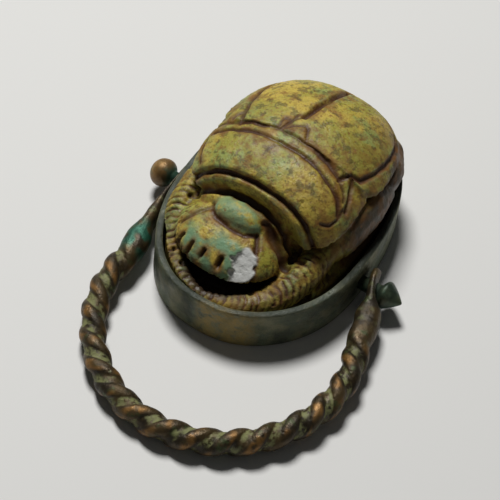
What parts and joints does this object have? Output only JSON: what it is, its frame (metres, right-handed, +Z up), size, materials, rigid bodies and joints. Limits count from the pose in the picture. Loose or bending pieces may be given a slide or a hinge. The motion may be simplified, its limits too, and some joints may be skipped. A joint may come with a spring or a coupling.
{
  "type": "scarab swivel ring",
  "caption": "Carved stone scarab in an oval bronze setting, with knobbed pins and a twisted-wire shank that swings on them.",
  "frame": {"origin": "on the scarab's flat underside, straight below the axis of the two pins", "axes": "+Z up out of the beetle's back, +X along the pins towards the bud-headed pin, the beetle's head points to -Y and the shank lies flat towards -Y"},
  "size_m": [0.0257, 0.0354, 0.011],
  "materials": {
    "glazed_stone": "worn yellow-green glaze, brown stain in the carving",
    "setting_bronze": "dark patina with a brown patch",
    "ball_bronze": "brown patina, polished where touched",
    "bud_bronze": "dark green patina",
    "shank_bronze": "brown patina with green corrosion between the wires"
  },
  "bodies": {
    "bezel": {"scarab": "glazed_stone", "setting": "setting_bronze", "ball_pin": "ball_bronze", "bud_pin": "bud_bronze"},
    "shank": {"shank": "shank_bronze"}
  },
  "joints": [
    {"name": "shank_swing", "type": "hinge", "parent": "bezel", "child": "shank", "pos_m": [0, 0, 0.00193], "axis": [-1, 0, 0], "range_deg": [-95, 95]}
  ]
}
